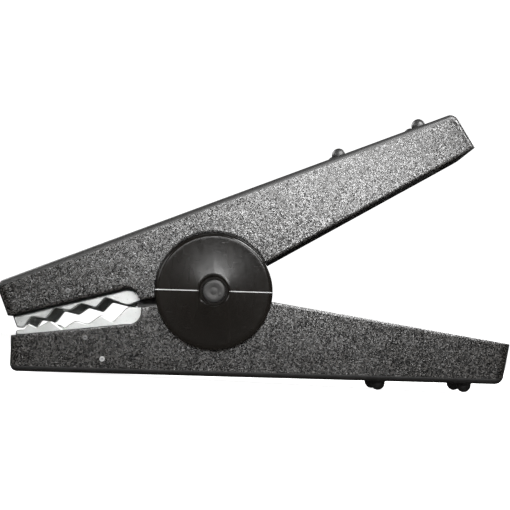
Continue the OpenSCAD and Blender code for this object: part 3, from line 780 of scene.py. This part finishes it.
pin, pinTop, sprue = hv["pin"], hv["pinEnd"], hv["sprue"]
pinFace = [(0.02, pinTop - 0.03), (0.5, pinTop - 0.03), (0.62, pinTop - 0.055), (0.74, pinTop - 0.03),
           (1.2, pinTop - 0.012), (pin - hv["pinRound"], pinTop), (pin - 0.08, pinTop - 0.06),
           (pin, pinTop - hv["pinRound"])]
pinProfile = [(r, -h) for r, h in pinFace] + pinFace[::-1]
sprueProfile = [(sprue, pinTop - 0.1), (sprue, pinTop), (sprue - 0.08, pinTop + 0.02), (0.05, pinTop + 0.01)]
parts = [turned(pinProfile, axis="y", steps=96), turned(sprueProfile, hv["sprueAt"], "y", 24)]
halfPiece("lower", "pivotPin", parts, "pin", "pivot_pin")

low = hv["capLow"] + hv["ringFit"]
high = low + hv["ringThick"]
rings = [ringAbout(pin + hv["pinFit"], hv["ring"], s * low, s * high) for s in (1, -1)]
halfPiece("lower", "pinRings", rings, "spring", "pin_rings")
bore, reach = pin + hv["fit"], hv["sleeveEnd"]
sleeve = ringAbout(bore, hv["sleeve"], -reach, reach, hv["sleeveRound"])
halfPiece("lower", "springSleeve", [sleeve], "nylon", "spring_sleeve")
for name, which in sides:
    washer = ringAbout(bore, hv["washer"], hv["washerLow"], hv["washerHigh"])
    halfPiece(which, name + "EarWasher", [washer], "nylon", name + "_ear_washer")
print("hub ready")


# ---- spring: a leg of each half joined by a close coil ----
springValues = {
    "coil": 3.96, "wire": 0.49, "halfCoil": 1.71, "bear": 13.0, "bearHeight": 10.43, "turns": 3,
    "stepsPerTurn": 44, "legSteps": 14, "endShare": 0.8, "twistShare": 0.85,
}
pv = springValues
legLength = math.sqrt(pv["bear"] ** 2 + pv["bearHeight"] ** 2 - pv["coil"] ** 2)
legSlope = math.atan2(pv["bearHeight"], pv["bear"]) - math.atan2(pv["coil"], legLength)


# In the clip's own X and Z round the pivot: where each leg leaves the coil, and the way it goes
def legOf(axes):
    way = np.array([math.cos(legSlope), 0, math.sin(legSlope)]) @ axes
    leave = pv["coil"] * np.array([-math.sin(legSlope), 0, math.cos(legSlope)]) @ axes
    return leave, way, math.atan2(leave[2], leave[0])


# Path: along the lower leg to the coil, round it while stepping across the clip, and out along the upper leg
def springPath():
    (leaveL, wayL, angleL), (leaveU, wayU, angleU) = legOf(lowerAxes), legOf(upperAxes)
    sweep = -((angleL - angleU) % (2 * halfTurn)) - 2 * halfTurn * pv["turns"]
    count = int(abs(sweep) / (2 * halfTurn) * pv["stepsPerTurn"])
    t = np.linspace(0, 1, count)
    angle = angleL + sweep * t
    across = pv["halfCoil"] * (2 * t - 1)
    coil = np.stack([pv["coil"] * np.cos(angle), across, pv["coil"] * np.sin(angle)], -1)
    reach = np.concatenate([[legLength, legLength - 0.06], np.linspace(legLength - 0.3, 0.4, pv["legSteps"])])
    reach = reach[:, None]
    lowerLeg = leaveL + wayL * reach + [0, -pv["halfCoil"], 0]
    upperLeg = leaveU + wayU * reach[::-1] + [0, pv["halfCoil"], 0]
    return np.concatenate([lowerLeg, coil, upperLeg])


path = springPath()
thick = np.full(len(path), pv["wire"])
thick[[0, -1]] *= pv["endShare"]
coil = wire(path, thick, np.array([0.0, 1.0, 0.0]))
spring = makePiece("torsionSpring", [coil], np.eye(3), "spring", ["torsion_spring"])
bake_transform(spring)
print("spring ready")


# ---- screws, terminal, clamp and grommet ----
fastenerValues = {
    "jawScrewsAt": (-16.0, -27.0), "sheetInside": 10.9, "jawScrewReach": 1.8,
    "small": {"shank": 0.6, "head": 1.4, "headHigh": 0.8, "slot": 0.4, "slotDeep": 0.4},
    "terminalAt": 19.0, "terminalSeat": 8.6, "terminalReach": 3.0,
    "large": {"shank": 1.25, "head": 2.5, "headHigh": 1.4, "slot": 0.6, "slotDeep": 0.7},
    "washer": 2.9, "washerThick": 0.5, "washerFit": 0.15,
    "bush": 2.2, "bushLow": 9.1, "bushFit": 0.03, "grooves": 5, "groovePitch": 0.28, "grooveDeep": 0.08,
    "clampAt": 33.0, "clampGauge": 3.6, "clampLow": 6.95, "clampHigh": 8.15, "clampHalfLong": 4.7,
    "clampHalfWide": 2.0, "clampRim": 0.15, "clampReach": 3.0,
    "inletHeight": 9.5, "cable": 1.45, "cableFit": 0.06, "grommetNeck": 1.85, "grommetLip": 2.15,
    "wallInside": 45.349, "wallThick": 1.625, "lipThick": 0.5,
}
sc = fastenerValues


# A slotted screw seated at a height, head toward the mouth of the shell: a turned lower head and shank, and two
# half-moon pads that leave the slot between them
def screwParts(x, y, seat, size, reach):
    r, low, shank = size["head"], seat - size["headHigh"], size["shank"]
    base, tip, chamfer, lead = low + size["slotDeep"], seat + reach, 0.25, 0.1
    body = [(0.05, base), (r - 0.03, base), (r, base + 0.03), (r, seat - 0.08), (r - 0.08, seat), (shank, seat),
            (shank, tip - chamfer), (shank - chamfer, tip), (0.05, tip)]
    open0 = math.asin(size["slot"] / 2 / r)
    a = np.linspace(open0, halfTurn - open0, 26)
    moon = np.column_stack([r * np.cos(a), r * np.sin(a)])
    moon = np.concatenate([moon, [[-0.3 * r, size["slot"] / 2], [0.3 * r, size["slot"] / 2]]])
    turn = 0.35 + x * 0.7 + y       # radians, so that each slot stands its own way
    spin = np.array([[math.cos(turn), math.sin(turn)], [-math.sin(turn), math.cos(turn)]])
    pads = [plate(m @ spin, low, base + 0.02, lead, "xyz", (x, y, 0)) for m in (moon, -moon)]
    return [turned(body, (x, y, 0), steps=48)] + pads


for which in halves:
    parts = [p for at in sc["jawScrewsAt"]
             for p in screwParts(at, 0, sc["sheetInside"], sc["small"], sc["jawScrewReach"])]
    halfPiece(which, which + "JawScrews", parts, "screw", which + "_jaw_screws")

at, seat, shank = sc["terminalAt"], sc["terminalSeat"], sc["large"]["shank"]
screw = screwParts(at, 0, seat, sc["large"], sc["terminalReach"])
halfPiece("lower", "terminalScrew", screw, "screw", "terminal_screw")
washer = ringAbout(shank + sc["washerFit"], sc["washer"], seat, seat + sc["washerThick"], centre=(at, 0, 0), axis="z")
halfPiece("lower", "terminalWasher", [washer], "screw", "terminal_washer")
bush, bushLow, bushHigh, bore = sc["bush"], sc["bushLow"], sc["sheetInside"], shank + sc["bushFit"]
groove = ((0.0, 0.0), (0.0, 0.14), (sc["grooveDeep"], 0.2))
grooves = [(bush - d, bushLow + 0.2 + k * sc["groovePitch"] + o) for k in range(sc["grooves"]) for d, o in groove]
bushProfile = [(bore, bushLow), (bush - 0.15, bushLow)] + grooves + [
    (bush, bushHigh - 0.12), (bush - 0.12, bushHigh), (bore, bushHigh)]
halfPiece("lower", "terminalBush", [turned(bushProfile, (at, 0, 0), ring=True)], "brass", "terminal_bush")

# Clamp bar: its section has a shallow saddle for the cable; the bar is that section given width along the handle
saddle = np.linspace(-1, 1, 9) * math.sqrt(sc["cable"] ** 2 - (sc["inletHeight"] - sc["clampHigh"]) ** 2)
saddleZ = sc["inletHeight"] - np.sqrt(sc["cable"] ** 2 - saddle ** 2)
long, lowZ, highZ = sc["clampHalfLong"], sc["clampLow"], sc["clampHigh"]
barOutline = np.concatenate([
    softCorners([(-long, lowZ), (long, lowZ), (long, highZ)], [0.5, 0.5, 0.2])[:-1],
    np.column_stack([saddle, saddleZ])[::-1],
    [(-long + 0.2, highZ), (-long, highZ - 0.2)]])
start, end = sc["clampAt"] - sc["clampHalfWide"], sc["clampAt"] + sc["clampHalfWide"]
halfPiece("lower", "cableClamp", [plate(barOutline, start, end, sc["clampRim"], "yzx")], "clamp", "cable_clamp")
parts = [p for s in (-1, 1)
         for p in screwParts(sc["clampAt"], s * sc["clampGauge"], lowZ, sc["small"], sc["clampReach"])]
halfPiece("lower", "clampScrews", parts, "screw", "clamp_screws")

lipIn, lipOut, neckOut = sc["cable"] + sc["cableFit"], sc["grommetLip"], sc["grommetNeck"]
inside = sc["wallInside"] - 0.02
lipStart, outside = inside - sc["lipThick"], inside + sc["wallThick"] - 0.06
grommet = softCorners([(lipIn, lipStart), (lipOut, lipStart), (lipOut, inside), (neckOut, inside),
                       (neckOut, outside), (lipIn, outside)], [0.12, 0.15, 0.1, 0.05, 0.12, 0.12], 3)
bushing = turned(grommet, (0, 0, sc["inletHeight"]), "x", 64, ring=True, lean=lean)
halfPiece("lower", "inletGrommet", [bushing], "rubber", "inlet_grommet")
print("fastenings ready")


# ---- floor, light and camera ----
studioValues = {
    "floorSize": 3.0, "floorGlow": 0.95, "back": 1.15, "above": 0.05, "below": 0.0, "horizon": (-0.5, 0.6),
    "exposure": 0.0, "aim": (8, 0, 5), "camera": (2.3, -177.0, -8.0),
    "yaw": 0.37, "pitch": 2.48, "roll": 3.09, "lens": 75.6, "shift": (0.039, 0.0815),
}
st = studioValues
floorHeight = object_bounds()[0][2]
size = st["floorSize"]
corners = [(-size, -size, floorHeight), (size, -size, floorHeight), (size, size, floorHeight),
           (-size, size, floorHeight)]
floorMesh = bpy.data.meshes.new("floor")
floorMesh.from_pydata(corners, [], [(0, 1, 2, 3)])
pale = Finish("paleFloor")
paleTone = pale.colour(pale.noise(400.0), tint(0.86), tint(0.9))
floorMesh.materials.append(pale.feed(
    Base_Color=paleTone, Roughness=0.9, Emission_Color=(1, 1, 1, 1), Emission_Strength=st["floorGlow"]))
floor = bpy.data.objects.new("floor", floorMesh)
bpy.context.scene.collection.objects.link(floor)
floor.visible_glossy = False


# A soft rectangle of light, turned to face the clip; its place is counted from the pivot
def softLight(name, place, size, power, shineOnly=False):
    data = bpy.data.lights.new(name, "AREA")
    data.shape, data.energy = "RECTANGLE", power
    data.size, data.size_y = (v * mm for v in size)
    light = bpy.data.objects.new(name, data)
    spot = pivot + np.array(place) * mm
    light.location = spot
    way = pivot + np.array(st["aim"]) * mm - spot
    light.rotation_euler = (math.atan2(math.hypot(way[0], way[1]), -way[2]), 0, math.atan2(-way[0], way[1]))
    light.visible_diffuse = not shineOnly
    bpy.context.scene.collection.objects.link(light)


softLight("glare", (38, -262, 72), (90, 18), 0.27)
softLight("sideGlare", (-50, -262, 64), (60, 18), 0.08)
softLight("key", (100, -170, 190), (60, 60), 0.45)
softLight("top", (-40, -20, 260), (120, 120), 0.05)
softLight("backLeft", (-230, 170, 190), (160, 160), 0.8)
softLight("backRight", (180, 240, 150), (160, 160), 0.8)
softLight("frontLeft", (-260, -120, 130), (120, 120), 0.3)
softLight("rim", (110, -130, 150), (170, 30), 0.5, shineOnly=True)

# The camera sees an even white; everything else is lit by a dim sky that fades downward
world = bpy.data.worlds.new("studio")
bpy.context.scene.world = world
sky = Nodes(world)
white = (1, 1, 1, 1)
height = sky.node("ShaderNodeSeparateXYZ", {}, {0: sky.node("ShaderNodeTexCoord", {}, {}, "Generated")}, "Z")
limits = {1: st["horizon"][0], 2: st["horizon"][1], 3: st["below"], 4: st["above"]}
strength = sky.node("ShaderNodeMapRange", {}, {0: height, **limits})
dim = sky.node("ShaderNodeBackground", {}, {"Color": white, "Strength": strength})
seen = sky.node("ShaderNodeBackground", {}, {"Color": white, "Strength": st["back"]})
fromCamera = sky.node("ShaderNodeLightPath", {}, {}, "Is Camera Ray")
mixed = sky.node("ShaderNodeMixShader", {}, {0: fromCamera, 1: dim, 2: seen})
skyEnd = sky.tree.nodes.new("ShaderNodeOutputWorld")
sky.join(mixed, skyEnd.inputs[0])

# The camera's right, up and forward directions from its yaw, pitch and roll
yaw, pitch, roll = (math.radians(st[k]) for k in ("yaw", "pitch", "roll"))
forward = np.array([math.sin(yaw) * math.cos(pitch), math.cos(yaw) * math.cos(pitch), math.sin(pitch)])
level = np.array([math.cos(yaw), -math.sin(yaw), 0])
upright = np.cross(level, forward)
right = level * math.cos(roll) + upright * math.sin(roll)
above = upright * math.cos(roll) - level * math.sin(roll)
cameraData = bpy.data.cameras.new("camera")
cameraData.lens, cameraData.sensor_width, cameraData.clip_start = st["lens"], 36.0, 0.005
cameraData.shift_x, cameraData.shift_y = st["shift"]
camera = bpy.data.objects.new("camera", cameraData)
turn = np.eye(4)
turn[:3, 0], turn[:3, 1], turn[:3, 2] = right, above, -forward
turn[:3, 3] = pivot + np.array(st["camera"]) * mm
camera.matrix_world = Matrix(turn.tolist())
bpy.context.scene.collection.objects.link(camera)
bpy.context.scene.camera = camera
view = bpy.context.scene.view_settings
view.view_transform, view.look, view.exposure, view.gamma = "Standard", "None", st["exposure"], 1.0
